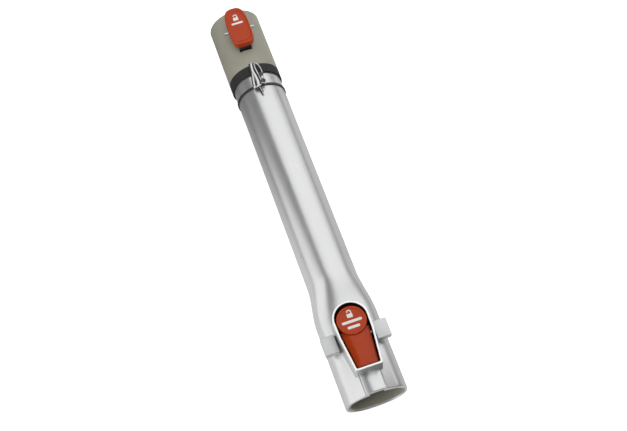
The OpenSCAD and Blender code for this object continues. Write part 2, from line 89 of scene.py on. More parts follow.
HB_TOP, HB_LOW = Y_END - 3.05, Y_END - 43.05
HB_MID = (HB_TOP + HB_LOW) / 2
HB_OPEN, HB_RIM, HB_GAP = 10.55, 1.95, 1.2
HB_FLOOR = CHAMBER_R + 0.9
HB_STOP = Y_END - 0.9                # the frame goes no further than the collar's rounded end
HB_PIN = (HB_MID - 1, HB_FLOOR + 3)
HB_CAP_LOW, HB_CAP_TOP = HB_FLOOR + 3.8, HANDLE_RIM - 0.4

WB_LOW = Y_MOUTH + 16.8
WB_MID = WB_LOW + 38.1
WB_OPEN, WB_END_HALF, WB_RIM_W, WB_GAP = 12.25, 9.15, 1.6, 1.0
WB_FLOOR = SOCKET_TOP + 1
WB_PIN = (WB_MID - 12.4, WAND_RIM - 7.5)
WB_CAP_LOW, WB_PLATE_Z, WB_PAD_Z = WAND_RIM - 5.5, WAND_RIM - 1.7, WAND_RIM - 0.3
PAD_Y, PAD_R = WB_MID - 1.5, WB_OPEN - WB_GAP
PIN_R = 1.25
PIN_REACH = 20.0                     # half the length of the pins' holes
LATCH_HALF = 5.6                     # half width of the latches' windows and of the key slot
ROCK = 9.0                           # degrees that a button rocks
BARREL_HIGH, BARREL_LOW = 0.66, 0.42 # roundness of the handle button's two ends
PLATE_END, PLATE_NECK = WB_LOW + WB_GAP, WB_PIN[0] + 4
HB_FOOT, WB_FOOT = 0.7, 2.0          # fillets at the foot of the frames
SKIRT_X, SKIRT_SLOPE = 16.5, 0.58    # the socket rises straight from here to the channel's foot
HB_LEAN, HB_ROUND = 0.62, 0.85       # slope of the handle frame's low end, and how it eases at the corners
CHANNEL_CROWN = 1.3                  # how far the channel's middle stands above its sides
CHANNEL_EDGE = 0.6                   # how far its edges lie under CHANNEL_TOP
CHANNEL_SIDE, GROOVE, GROOVE_DEPTH = 0.8, 0.65, 0.6   # its sloping sides, and the groove at their foot
PLATE_FLAT, PLATE_SLOPE = 0.40, 0.30 # flat share of the plate's half width, and the slope beside it
LIP, LIP_RISE = 1.2, 0.22            # rounding and height of the bead at the collar's lip


# Shapes shared by several pieces.
def mix(a, b, t):
    return a + (b - a) * t


def ease(t):
    t = max(0.0, min(1.0, t))
    return t * t * (3 - 2 * t)


def spow(v, power):
    return math.copysign(abs(v) ** power, v)


def turn(i, n):
    return 2 * math.pi * i / n


def section(y, inset, n=144):
    """Ring of points round the wand at y: a circle on the tube, a flat oval in the socket."""
    t = ease((FLARE_TOP - y) / (FLARE_TOP - FLARE_LOW))
    w = mix(TUBE_R, SOCKET_HALF_W, t) - inset
    h = mix(TUBE_R, SOCKET_HALF_H, t) - inset
    power = 2 / mix(2, SOCKET_POWER, t)
    return [Vector((w * spow(math.cos(a), power), y, h * spow(math.sin(a), power) - SOCKET_DROP * t))
            for a in (turn(i, n) for i in range(n))]


def barrel(inset, n=120):
    """Outline of the handle button's frame, rounder at the handle end, as (x, y) pairs."""
    half_w, half_l = HB_OPEN - inset, (HB_TOP - HB_LOW) / 2 - inset
    out = []
    for i in range(n):
        a = turn(i, n)
        power = BARREL_HIGH if math.sin(a) > 0 else BARREL_LOW
        out.append((half_w * spow(math.cos(a), power), HB_MID + half_l * spow(math.sin(a), power)))
    return out


def arc(cx, cy, r, start, end, steps):
    """Points on an arc, in degrees, both ends included."""
    return [(cx + r * math.cos(math.radians(mix(start, end, k / steps))),
             cy + r * math.sin(math.radians(mix(start, end, k / steps)))) for k in range(steps + 1)]


def quarter(steps, first=1):
    """Pairs (run, low) over a rounded edge: shares of its radius in from its side and below its top."""
    angles = [math.radians(90 * k / steps) for k in range(first, steps + 1)]
    return [(1 - math.cos(a), 1 - math.sin(a)) for a in angles]


def keyhole(grow, corner=1.2):
    """Outline of the lower button's frame, grown outwards, as (x, y) pairs."""
    r = WB_OPEN + grow
    neck_x, neck_y = WB_OPEN - 0.3 + grow, WB_MID - 11.9
    end_x, end_y = WB_END_HALF + 0.8 * grow, WB_LOW - grow
    low = [(end_x + (neck_x - end_x) * k / 8, end_y + corner + (neck_y - end_y - corner) * k / 8)
           for k in range(1, 8)]
    right = arc(end_x - corner, end_y + corner, corner, -90, 0, 6) + low + [(neck_x, neck_y)]
    side = [(mix(neck_x, r, k / 4), mix(neck_y, WB_MID, k / 4)) for k in range(1, 4)]
    top = arc(0, WB_MID, r, 0, 180, 48)
    right = right + side
    return right + top + [(-x, y) for x, y in reversed(right)]


# Mesh tools.
def loft(rings, ends=True):
    """Bmesh skinned over rings of points, which all have the same number of points."""
    bm = bmesh.new()
    made = bmesh.ops.create_circle(bm, cap_ends=ends, radius=1, segments=len(rings[0]))
    loop = made["verts"]
    for v, p in zip(loop, rings[0]):
        v.co = p
    edges = [e for e in bm.edges]
    for ring in rings[1:]:
        out = bmesh.ops.extrude_edge_only(bm, edges=edges)["geom"]
        edges = [g for g in out if isinstance(g, bmesh.types.BMEdge)]
        new = {v for e in edges for v in e.verts}
        follow = {}
        for v in loop:
            for e in v.link_edges:
                w = e.other_vert(v)
                if w in new:
                    follow[v] = w
        loop = [follow[v] for v in loop]
        for v, p in zip(loop, ring):
            v.co = p
    if ends:
        bmesh.ops.contextual_create(bm, geom=edges)
    bmesh.ops.recalc_face_normals(bm, faces=bm.faces[:])
    return bm


def closed_loft(rings):
    """As loft, with its last ring joined to its first."""
    bm = loft(rings + [rings[0]], ends=False)
    bmesh.ops.remove_doubles(bm, verts=bm.verts[:], dist=1e-5)
    bmesh.ops.recalc_face_normals(bm, faces=bm.faces[:])
    return bm


def lifted(outline, z):
    return [Vector((x, y, z)) for x, y in outline]


def turned(profile, steps=144):
    """Solid of revolution round the wand's axis, from a closed profile of (radius, y) pairs."""
    bm = bmesh.new()
    verts = [bm.verts.new((r, y, 0)) for r, y in profile]
    edges = [bm.edges.new((a, b)) for a, b in zip(verts, verts[1:] + verts[:1])]
    bmesh.ops.spin(bm, geom=verts + edges, cent=(0, 0, 0), axis=(0, 1, 0), angle=2 * math.pi,
                   steps=steps, use_merge=True)
    bmesh.ops.remove_doubles(bm, verts=bm.verts[:], dist=1e-5)
    bmesh.ops.recalc_face_normals(bm, faces=bm.faces[:])
    return bm


def brick(x0, x1, y0, y1, z0, z1):
    """Sharp-edged box between two places on each axis."""
    bm = bmesh.new()
    bmesh.ops.create_cube(bm, size=1)
    bmesh.ops.scale(bm, verts=bm.verts[:], vec=(x1 - x0, y1 - y0, z1 - z0))
    bmesh.ops.translate(bm, verts=bm.verts[:], vec=((x0 + x1) / 2, (y0 + y1) / 2, (z0 + z1) / 2))
    return bm


def round_edges(bm, edges, radius, segments):
    bmesh.ops.bevel(bm, geom=edges, offset=radius, offset_type="OFFSET", segments=segments,
                    profile=0.5, affect="EDGES", material=-1, clamp_overlap=True)


def rod(p, q, r, segments=32):
    """Round rod from p to q."""
    bm = bmesh.new()
    p, q = Vector(p), Vector(q)
    bmesh.ops.create_cone(bm, cap_ends=True, segments=segments, radius1=r, radius2=r,
                          depth=(q - p).length)
    lying = Vector((0, 0, 1)).rotation_difference(q - p).to_matrix()
    bmesh.ops.rotate(bm, verts=bm.verts[:], matrix=lying)
    bmesh.ops.translate(bm, verts=bm.verts[:], vec=(p + q) / 2)
    return bm


def joined(*parts):
    """One bmesh holding all the parts."""
    out = bmesh.new()
    for bm in parts:
        mesh = bpy.data.meshes.new("part")
        bm.to_mesh(mesh)
        bm.free()
        out.from_mesh(mesh)
        bpy.data.meshes.remove(mesh)
    return out


def loose_object(bm, name="tool"):
    mesh = bpy.data.meshes.new(name)
    bm.to_mesh(mesh)
    bm.free()
    obj = bpy.data.objects.new(name, mesh)
    bpy.context.collection.objects.link(obj)
    return obj


def carve(bm, *steps):
    """Adds or cuts solids: each step is ("UNION" or "DIFFERENCE", bmesh). Returns a new bmesh."""
    target = loose_object(bm, "target")
    tools = []
    for operation, tool_bm in steps:
        tool = loose_object(tool_bm)
        tools.append(tool)
        mod = target.modifiers.new(operation, "BOOLEAN")
        mod.operation, mod.object, mod.solver = operation, tool, "EXACT"
    bpy.context.view_layer.update()
    result = target.evaluated_get(bpy.context.evaluated_depsgraph_get())
    out = bmesh.new()
    out.from_mesh(result.data)
    for obj in [target] + tools:
        mesh = obj.data
        bpy.data.objects.remove(obj)
        bpy.data.meshes.remove(mesh)
    bmesh.ops.remove_doubles(out, verts=out.verts[:], dist=1e-4)
    bmesh.ops.dissolve_degenerate(out, edges=out.edges[:], dist=1e-4)
    return out


def to_scene(name, bm, material, body, replaces=(), crease=32.0):
    """Finished piece: metres, at its height over the floor, shaded smooth up to the crease angle."""
    bmesh.ops.transform(bm, verts=bm.verts[:],
                        matrix=Matrix.Scale(MM, 4) @ Matrix.Translation((0, 0, AXIS)))
    mesh = bpy.data.meshes.new(name)
    bm.to_mesh(mesh)
    bm.free()
    obj = bpy.data.objects.new(name, mesh)
    bpy.context.collection.objects.link(obj)
    mesh.shade_smooth()
    mesh.set_sharp_from_angle(angle=math.radians(crease))
    for one in material if isinstance(material, list) else [material]:
        mesh.materials.append(one)
    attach(obj, body)
    if replaces:
        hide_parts(*replaces)
    return obj


# Materials.
class Value:
    """Socket of a shader tree that takes part in Python arithmetic."""

    def __init__(self, tree, socket):
        self.tree, self.socket = tree, socket

    def _math(self, operation, first, second):
        """Maths node over two values, each a number or a Value."""
        node = self.tree.nodes.new("ShaderNodeMath")
        node.operation = operation
        for slot, value in zip(node.inputs, (first, second)):
            if isinstance(value, Value):
                self.tree.links.new(value.socket, slot)
            else:
                slot.default_value = value
        return Value(self.tree, node.outputs[0])

    def __add__(self, other):
        return self._math("ADD", self, other)

    def __sub__(self, other):
        return self._math("SUBTRACT", self, other)

    def __rsub__(self, other):
        return self._math("SUBTRACT", other, self)

    def __mul__(self, other):
        return self._math("MULTIPLY", self, other)

    __radd__ = __add__
    __rmul__ = __mul__

    def clamp(self):
        """The value, kept between 0 and 1."""
        raised = self._math("MAXIMUM", self, 0.0)
        return raised._math("MINIMUM", raised, 1.0)


class Finish:
    """Material with one Principled shader and a method that adds any other node."""

    def __init__(self, name, **constants):
        self.material = bpy.data.materials.new(name)
        self.material.use_nodes = True
        self.tree = self.material.node_tree
        self.shader = self.tree.nodes["Principled BSDF"]
        for key, value in constants.items():
            self.shader.inputs[key.replace("_", " ")].default_value = value
        self.place = Value(self.tree, self.tree.nodes.new("ShaderNodeTexCoord").outputs["Object"])

    def node(self, kind, output=0, settings=(), **inputs):
        """Adds a node. Settings are set first, then its sockets, by name or as i0, i1 and so on."""
        node = self.tree.nodes.new(kind)
        for key, value in dict(settings).items():
            setattr(node, key, value)
        for key, value in inputs.items():
            numbered = key[0] == "i" and key[1:].isdigit()
            slot = node.inputs[int(key[1:]) if numbered else key.replace("_", " ")]
            if isinstance(value, Value):
                self.tree.links.new(value.socket, slot)
            else:
                slot.default_value = value
        return Value(self.tree, node.outputs[output])

    def scaled(self, x, y, z):
        return self.node("ShaderNodeMapping", Vector=self.place, Scale=(x, y, z))

    def noise(self, scale, detail=2.0, stretch=(1, 1, 1), roughness=0.5):
        """Noise in object space, centred on 0.5; scale is in features to the millimetre."""
        x, y, z = stretch
        where = self.scaled(x / MM, y / MM, z / MM)
        return self.node("ShaderNodeTexNoise", Vector=where, Scale=scale, Detail=detail,
                         Roughness=roughness)

    def blend(self, factor, a, b):
        """Colour between a and b."""
        return self.node("ShaderNodeMix", output=2, settings={"data_type": "RGBA"},
                         i0=factor, i6=a, i7=b)

    def drive(self, **inputs):
        for key, value in inputs.items():
            self.tree.links.new(value.socket, self.shader.inputs[key.replace("_", " ")])
        return self

    def bump(self, height, distance, strength=1.0):
        """Normal from a height, with the distance in millimetres."""
        normal = self.node("ShaderNodeBump", Height=height, Distance=distance * MM, Strength=strength)
        return self.drive(Normal=normal)


def grey(level):
    return (level, level, level, 1.0)


def silver_paint(name, level=0.60, along=True, matt=0.0):
    """Satin metallic silver over moulded plastic: flakes, faint handling scuffs and soft haze."""
    f = Finish(name, Metallic=0.88, IOR=1.5)
    f.shader.inputs["Coat Roughness"].default_value = 0.22
    f.shader.inputs["Coat Weight"].default_value = 0.18
    flakes = f.noise(3.2, detail=1.0)
    haze = f.noise(0.035, detail=3.0)
    scuffs = f.noise(0.55, detail=3.0, stretch=(1, 0.06, 1) if along else (1, 1, 1), roughness=0.6)
    tone = (flakes - 0.5) * 0.10 + (haze - 0.5) * 0.06 + 0.5
    f.drive(Base_Color=f.blend(tone.clamp(), (level * 0.93, level * 0.935, level * 0.93, 1),
                               (level * 1.08, level * 1.085, level * 1.09, 1)))
    f.drive(Roughness=((haze - 0.5) * 0.08 + (scuffs - 0.5) * 0.10 + 0.30 + matt).clamp())
    return f.bump(flakes * 0.6 + scuffs * 0.4, 0.012, 0.35).material


def moulded_plastic(name, colour, dark, roughness=0.5, grain=1.4, depth=0.02):
    """Moulded plastic with a fine spark-eroded grain and slightly uneven tone."""
    f = Finish(name)
    mottle = f.noise(0.09, detail=3.0)
    fine = f.noise(grain, detail=3.0)
    f.drive(Base_Color=f.blend(((mottle - 0.5) * 1.6 + 0.5).clamp(), (*dark, 1), (*colour, 1)))
    f.drive(Roughness=((fine - 0.5) * 0.14 + (mottle - 0.5) * 0.08 + roughness).clamp())
    return f.bump(fine, depth, 0.5).material


def red_plastic():
    """Brick red cap: fine satin grain, in streaks thumbed a little smoother."""
    f = Finish("red_button_plastic", Specular_IOR_Level=0.26)
    fine = f.noise(2.0, detail=2.0)
    mottle = f.noise(0.12, detail=3.0)
    rub = f.noise(0.35, detail=4.0, stretch=(1, 0.35, 1))
    f.drive(Base_Color=f.blend(((mottle - 0.5) * 1.4 + (fine - 0.5) * 0.3 + 0.5).clamp(),
                               (0.42, 0.036, 0.001, 1), (0.49, 0.048, 0.002, 1)))
    f.drive(Roughness=((fine - 0.5) * 0.08 + (rub - 0.5) * 0.10 + 0.22).clamp())
    return f.bump(fine, 0.010, 0.4).material


def steel(name, level, roughness=0.28):
    """Drawn or turned steel with fine lines along its length."""
    f = Finish(name, Metallic=1.0)
    lines = f.noise(2.2, detail=2.0, stretch=(0.12, 1, 1))
    f.drive(Base_Color=f.blend(lines, grey(level * 0.85), grey(level * 1.1)))
    f.drive(Roughness=((lines - 0.5) * 0.16 + roughness).clamp())
    return f.bump(lines, 0.006, 0.3).material


def print_white():
    """Pad-printed ink, a little uneven."""
    f = Finish("white_print", Roughness=0.5)
    ink = f.noise(1.6, detail=2.0)
    f.drive(Base_Color=f.blend(ink, (0.80, 0.76, 0.72, 1), (0.93, 0.91, 0.88, 1)))
    return f.bump(ink, 0.004, 0.3).material


SILVER = silver_paint("silver_paint")
# Lighter silver for the frames' rims, the collar's lip bead and the clip's bumps: a painted highlight.
RIM = silver_paint("silver_painted_highlight", 0.80, along=False)
SILVER_CLIP = silver_paint("silver_clip", 0.64, along=False)
RUBBED = silver_paint("silver_rubbed", 0.60, along=False, matt=0.18)
LINER = moulded_plastic("grey_liner", (0.38, 0.37, 0.30), (0.33, 0.32, 0.255), 0.5)
RED = red_plastic()
LATCH = moulded_plastic("dark_latch", (0.035, 0.035, 0.037), (0.022, 0.022, 0.023), 0.45)
RUBBER = moulded_plastic("black_rubber", (0.025, 0.025, 0.025), (0.014, 0.014, 0.014), 0.75, 0.8, 0.03)
STEEL = steel("bright_steel", 0.62)
SCREW = steel("dark_screw", 0.10, 0.4)
# Near black for the walls inside the buttons' openings and for the bars under the clip: painted shade.
PAINTED_SHADE = moulded_plastic("painted_shade_near_black", (0.020, 0.019, 0.018), (0.012, 0.012, 0.011), 0.6)
PRINT = print_white()


# The wand's fixed shells.
def rounded_mouth():
    """Stations (y, inset) round the outer edge of the mouth."""
    return [(Y_MOUTH + MOUTH_EDGE * run, MOUTH_EDGE * low) for run, low in quarter(5, 0)]


def stations(y0, y1, step):
    n = max(1, round((y1 - y0) / step))
    return [mix(y0, y1, k / n) for k in range(1, n + 1)]


def section_top(x, y):
    """Height of the wand's outside over a place."""
    t = ease((FLARE_TOP - y) / (FLARE_TOP - FLARE_LOW))
    w, h, power = mix(TUBE_R, SOCKET_HALF_W, t), mix(TUBE_R, SOCKET_HALF_H, t), mix(2, SOCKET_POWER, t)
    return h * max(0.0, 1 - abs(x / w) ** power) ** (1 / power) - SOCKET_DROP * t


def raised_frame(outline, surface, rim_z, foot, sink=6.0, lean=lambda x, y, drop: y):
    """Solid frame on a shell: a hollow fillet round its foot, walls and a rounded rim.

    lean(x, y, drop) shifts a wall's place along the wand at a depth under the rim.
    """
    def ring(grow, height):
        points = []
        for x, y in outline(grow):
            y = lean(x, y, rim_z - surface(x, y) - height)
            points.append(Vector((x, y, surface(x, y) + height)))
        return points

    just_under = 0.06
    rings = [ring(foot, -sink), ring(foot, -just_under)]
    rings += [ring(foot * low, foot * run) for run, low in quarter(6)]
    rings += [lifted(outline(-RIM_EDGE * run), rim_z - RIM_EDGE * low) for run, low in quarter(5, 0)]
    return loft(rings)


def frame_pocket(outline, floor_z, rim_z):
    """Solid that cuts a frame's opening, with a small round at its upper edge."""
    edge = 0.25
    rings = [lifted(outline(0), floor_z), lifted(outline(0), rim_z - edge)]
    rings += [lifted(outline(edge * run), rim_z - edge * low) for run, low in quarter(3)]
    rings.append(lifted(outline(edge), rim_z + 5))
    return loft(rings)


def wand_outside():
    rings = [section(y, inset) for y, inset in rounded_mouth()]
    ys = (stations(Y_MOUTH + MOUTH_EDGE, FLARE_LOW, 3) + stations(FLARE_LOW, FLARE_TOP, 1.5)
          + stations(FLARE_TOP, TUBE_END, 12))
    return loft(rings + [section(y, 0) for y in ys])


def wand_bore():
    """Solid that cuts the socket and the airway, with a lead-in at the mouth."""
    lead = 0.4
    rings = [section(y, SOCKET_WALL - lead) for y in (Y_MOUTH - 2, Y_MOUTH)]
    rings += [section(Y_MOUTH + depth, SOCKET_WALL - lead + lead * k / 3)
              for k, depth in ((1, 0.15), (2, 0.3), (3, 0.6))]
    rings += [section(y, SOCKET_WALL) for y in stations(Y_MOUTH + 0.6, FLARE_LOW, 3)]
    tube_wall = TUBE_R - BORE_R
    rings += [section(y, mix(SOCKET_WALL, tube_wall, (y - FLARE_LOW) / (FLARE_TOP - FLARE_LOW)))
              for y in stations(FLARE_LOW, FLARE_TOP, 1.5)]
    rings += [section(y, tube_wall) for y in stations(FLARE_TOP, TUBE_END + 2, 12)]
    return loft(rings)


def key_way():
    """Cuts of the lower latch's window and of the key slot in front of it."""
    window = brick(-LATCH_HALF, LATCH_HALF, WB_LOW + 1.7, WB_LOW + 8.8, 0, WB_FLOOR + 1)
    slot = brick(-LATCH_HALF, LATCH_HALF, Y_MOUTH - 1, WB_LOW + 2.7, 0, CHANNEL_TOP - 1.8)
    return [("DIFFERENCE", window), ("DIFFERENCE", slot)]


def pin_hole(pin):
    return ("DIFFERENCE", rod((-PIN_REACH, *pin), (PIN_REACH, *pin), PIN_R + FIT))


def wand_shell():
    frame_solid = raised_frame(lambda g: keyhole(WB_RIM_W + g), section_top, WAND_RIM, WB_FOOT)
    bm = carve(wand_outside(), ("UNION", frame_solid), ("UNION", key_channel()),
               ("UNION", guide_lug(1)), ("UNION", guide_lug(-1)), ("DIFFERENCE", wand_bore()),
               ("DIFFERENCE", frame_pocket(keyhole, WB_FLOOR, WAND_RIM)), *key_way(), pin_hole(WB_PIN))
    # Painted highlight on the frame's rim, painted shade on the walls inside its opening.
    paint_frame_highlight_and_shade(bm, keyhole(WB_RIM_W + 0.5), keyhole(0.1), WAND_RIM)
    paint(bm, 3, on_lug)
    to_scene("wand_shell", bm, [SILVER, PAINTED_SHADE, RIM, RUBBED], "wand", ["wand_tube"])


def skirt_top(x, y):
    """Height of the straight slope beside the channel, which fades out beside the lower button."""
    fade = 1 - ease((y - WB_LOW) / 20)
    straight = section_top(SKIRT_X, y) + SKIRT_SLOPE * (SKIRT_X - x)
    return mix(section_top(x, y), straight, fade)


def key_channel():
    """Channel over the key slot: a crowned roof, sloping sides and a fine groove at their foot."""
    def profile(y, inset):
        half, top = CHANNEL_HALF - inset, CHANNEL_TOP - CHANNEL_EDGE - inset
        foot = half + CHANNEL_SIDE
        side = [(SKIRT_X, 4.0)]
        for k in range(7):
            x = mix(SKIRT_X, foot + GROOVE, k / 6)
            side.append((x, skirt_top(x, y) - inset - 0.03))
        foot_z = skirt_top(foot, y) - inset
        side += [(foot + GROOVE * 0.45, foot_z - GROOVE_DEPTH), (foot, foot_z)]
        side += [(half + 0.25, mix(foot_z, top, 0.82)), (half + 0.08, mix(foot_z, top, 0.95))]
        for k in range(9):
            share = 1 - k / 8.5
            side.append(((half - 0.1) * share, top + CHANNEL_CROWN * (1 - share * share)))
        return [Vector((x, y, z)) for x, z in side + [(-x, z) for x, z in reversed(side)]]

    return loft([profile(y, inset) for y, inset in rounded_mouth()]
                + [profile(WB_LOW + further, 0) for further in (0, 4, 8, 12)])


def guide_lug(side):
    """Flat guide beside the lower button, on its own web."""
    x0, x1 = (LUG_IN, LUG_OUT) if side > 0 else (-LUG_OUT, -LUG_IN)
    y0, y1 = LUG_Y - LUG_LEN / 2, LUG_Y + LUG_LEN / 2
    plate = brick(x0, x1, y0, y1, LUG_TOP - LUG_T, LUG_TOP)
    upright = [e for e in plate.edges if abs(e.verts[0].co.z - e.verts[1].co.z) > 1
               and abs(e.verts[0].co.x - side * LUG_OUT) < 0.01]
    round_edges(plate, upright, 1.1, 4)
    level = [e for e in plate.edges if abs(e.verts[0].co.z - e.verts[1].co.z) < 0.01]
    round_edges(plate, level, 0.4, 3)
    w0, w1 = (LUG_IN + 0.05, LUG_IN + 3.4) if side > 0 else (-LUG_IN - 3.4, -LUG_IN - 0.05)
    web = brick(w0, w1, y0 + 0.5, y1 - 0.5, WB_FLOOR - 7, LUG_TOP - 1)
    return carve(plate, ("UNION", web))


def collar_radius(y):
    """Outer radius of the collar at y."""
    rise = COLLAR_WAIST_R - COLLAR_LIP_R
    arc_r = (SHOULDER ** 2 + rise ** 2) / (2 * rise)
    below = SEAM + SHOULDER - y
    if below > 0:
        return COLLAR_WAIST_R - arc_r + math.sqrt(arc_r ** 2 - below ** 2)
    return mix(COLLAR_WAIST_R, COLLAR_R, -below / (Y_END - SEAM - SHOULDER))


def collar_top(x, y):
    return math.sqrt(max(0.0, collar_radius(y) ** 2 - x * x))


def collar_profile():
    """Closed outline of the collar, from the lip on the tube round to its bore."""
    out = [(NECK_R, SEAM + 0.3), (NECK_R + 0.3, SEAM)]
    bead = collar_radius(SEAM + LIP) + LIP_RISE
    out += arc(bead - LIP, SEAM + LIP, LIP, -90, 0, 8)
    out += [(collar_radius(y) + LIP_RISE * (1 - ease((y - SEAM - LIP) / 2.4)), y)
            for y in stations(SEAM + LIP, SEAM + 4, 0.4)]
    out += [(collar_radius(y), y) for y in stations(SEAM + 4, SEAM + SHOULDER, 1.4)]
    out += [(collar_radius(y), y) for y in stations(SEAM + SHOULDER, Y_END - COLLAR_EDGE, 4)]
    out += arc(COLLAR_R - COLLAR_EDGE, Y_END - COLLAR_EDGE, COLLAR_EDGE, 0, 90, 5)[1:]
    out += [(CHAMBER_R + 0.3, Y_END), (CHAMBER_R, Y_END - 0.3)]
    out += [(CHAMBER_R, TUBE_END), (NECK_R, TUBE_END)]
    return out


def inside(outline):
    """Test for places within a flat outline."""
    def test(x, y):
        hit = False
        for (x0, y0), (x1, y1) in zip(outline, outline[1:] + outline[:1]):
            if (y0 > y) != (y1 > y) and x < x0 + (y - y0) * (x1 - x0) / (y1 - y0):
                hit = not hit
        return hit
    return test


def paint(bm, index, chosen):
    """Gives another of its materials to the faces whose centre passes a test."""
    for face in bm.faces:
        if chosen(face.calc_center_median()):
            face.material_index = index


def paint_frame_highlight_and_shade(bm, rim_outline, opening_outline, rim_z):
    """Painted highlight on a frame's rounded rim (a lighter silver), and painted shade (near black) on the
    walls inside its opening, below the rim's edge.
    """
    on_rim, in_opening = inside(rim_outline), inside(opening_outline)
    paint(bm, 2, lambda c: c.z > rim_z - 0.4 and on_rim(c.x, c.y))
    paint(bm, 1, lambda c: 0 < c.z < rim_z - 0.3 and in_opening(c.x, c.y))


def on_lug(c):
    """Test for places on the guide lugs, which the floor head rubs matt."""
    along = abs(c.y - LUG_Y) < LUG_LEN / 2 + 0.1
    return along and abs(c.x) > LUG_IN + 0.1 and LUG_TOP - LUG_T - 0.1 < c.z < LUG_TOP + 0.1


def on_lip(c):
    """Test for places on the bead at the collar's lip."""
    return c.y < SEAM + 1.3 * LIP and math.hypot(c.x, c.z) > NECK_R + 0.2


def handle_window():
    """Cut of the upper latch's window."""
    return ("DIFFERENCE", brick(-LATCH_HALF, LATCH_HALF, HB_LOW + 0.4, HB_LOW + 6.2, 13.7, HB_FLOOR + 1))


def handle_frame():
    """Frame of the upper button, whose low end slopes out except at its corners."""
    def lean(x, y, drop):
        high, low, half = HB_TOP + HB_RIM, HB_LOW - HB_RIM, HB_OPEN + HB_RIM
        corner = 1 - HB_ROUND * min(1.0, (x / half) ** 2)
        return y - HB_LEAN * corner * drop * max(0.0, high - y) / (high - low)

    def outline(grow):
        return [(x, min(y, HB_STOP)) for x, y in barrel(-HB_RIM - grow)]

    return raised_frame(outline, collar_top, HANDLE_RIM, HB_FOOT, 2.5, lean)


def collar_shell():
    core = 0.001
    chamber = turned([(core, TUBE_END), (CHAMBER_R, TUBE_END), (CHAMBER_R, Y_END + 2), (core, Y_END + 2)])
    neck = turned([(core, SEAM - 2), (NECK_R, SEAM - 2), (NECK_R, TUBE_END + 1), (core, TUBE_END + 1)])
    bm = carve(turned(collar_profile()), ("UNION", handle_frame()), ("DIFFERENCE", chamber),
               ("DIFFERENCE", neck),
               ("DIFFERENCE", frame_pocket(lambda g: barrel(-g), HB_FLOOR, HANDLE_RIM)),
               handle_window(), pin_hole(HB_PIN))
    # Painted highlight on the lip's bead and the frame's rim, painted shade on the walls inside the
    # frame's opening.
    paint(bm, 2, on_lip)
    paint_frame_highlight_and_shade(bm, barrel(-HB_RIM - 0.5), barrel(-0.1), HANDLE_RIM)
    to_scene("collar_shell", bm, [SILVER, PAINTED_SHADE, RIM], "wand", ["handle_collar"])


# Buttons.
def sunk(share, depth):
    """Depth of a button's face at a share of the way out to its edge: border, soft step, bowl."""
    step = 1 - ease((share - 0.79) / 0.09)
    return depth * (0.4 * step + 0.6 * max(0.0, 1 - (share / 0.88) ** 2))


def handle_share(x, y):
    """How far out on the handle button's face a place lies: 0 in the middle, 1 at its outline."""
    power = BARREL_HIGH if y > HB_MID else BARREL_LOW
    u = abs(x) / (HB_OPEN - HB_GAP)
    v = abs(y - HB_MID) / ((HB_TOP - HB_LOW) / 2 - HB_GAP)
    return (u ** (2 / power) + v ** (2 / power)) ** (power / 2)


def handle_top(x, y):
    """Height of the handle button's face."""
    return HB_CAP_TOP - sunk(handle_share(x, y), 1.0)


def pad_top(x, y):
    return WB_PAD_Z - sunk(math.hypot(x, y - PAD_Y) / PAD_R, 0.7)


# Rings of a cap's face, close together where it steps down into its dish.
FACE_SHARES = (0.905, 0.885, 0.87, 0.855, 0.84, 0.825, 0.81, 0.79,
               0.74, 0.66, 0.55, 0.42, 0.3, 0.18, 0.08)


def cap(outline, centre, low_z, top_z, face, edge=0.7):
    """Closed cap: straight skirt, rounded upper edge and a face given by its height function."""
    rings = [lifted(outline(0), low_z), lifted(outline(0), top_z - edge)]
    rings += [lifted(outline(edge * run), top_z - edge * low) for run, low in quarter(5)]
    brim = outline(0)
    for share in FACE_SHARES:
        ring = [(mix(centre[0], x, share), mix(centre[1], y, share)) for x, y in brim]
        rings.append([Vector((x, y, face(x, y))) for x, y in ring])
    return loft(rings)


CAP_WALL, CAP_HOLLOW = 1.65, 2.15    # wall of the caps, and depth of their hollows


def handle_button():
    bm = cap(lambda g: barrel(HB_GAP + g), (0, HB_MID), HB_CAP_LOW, HB_CAP_TOP, handle_top)
    inner = barrel(HB_GAP + CAP_WALL)
    hollow = loft([lifted(inner, HB_CAP_LOW - 1), lifted(inner, HB_CAP_LOW + CAP_HOLLOW)])
    reach, room = 30, 0.6
    notch = rod((-reach, *HB_PIN), (reach, *HB_PIN), PIN_R + room)
    bm = carve(bm, ("DIFFERENCE", hollow), ("DIFFERENCE", notch))
    to_scene("handle_button_cap", bm, RED, "handle_rocker", ["handle_button"])


def plate_half(y):
    """Half width of the lower button's tapering plate."""
    return mix(WB_END_HALF - WB_GAP, PAD_R - 0.3, (y - PLATE_END) / (PLATE_NECK - PLATE_END))


def plate_outline(inset):
    y_end, corner = PLATE_END + inset, 0.9
    half_end, half_neck = plate_half(PLATE_END) - inset, plate_half(PLATE_NECK) - inset
    right = arc(half_end - corner, y_end + corner, corner, -90, 0, 5)
    for k in range(1, 11):
        right.append((mix(half_end, half_neck, k / 10), mix(y_end + corner, PLATE_NECK, k / 10)))
    right += [(half_neck - 1.5, PLATE_NECK + 0.6), (half_neck * 0.5, PLATE_NECK + 0.9)]
    return right + [(-x, y) for x, y in reversed(right)]


def plate_top(x, y):
    """Height of the plate below the pad: flat in the middle, with a soft slope along both sides."""
    beside = max(0.0, abs(x) - PLATE_FLAT * plate_half(y))
    soft = 0.8
    return WB_PLATE_Z - PLATE_SLOPE * (math.sqrt(beside * beside + soft * soft) - soft)


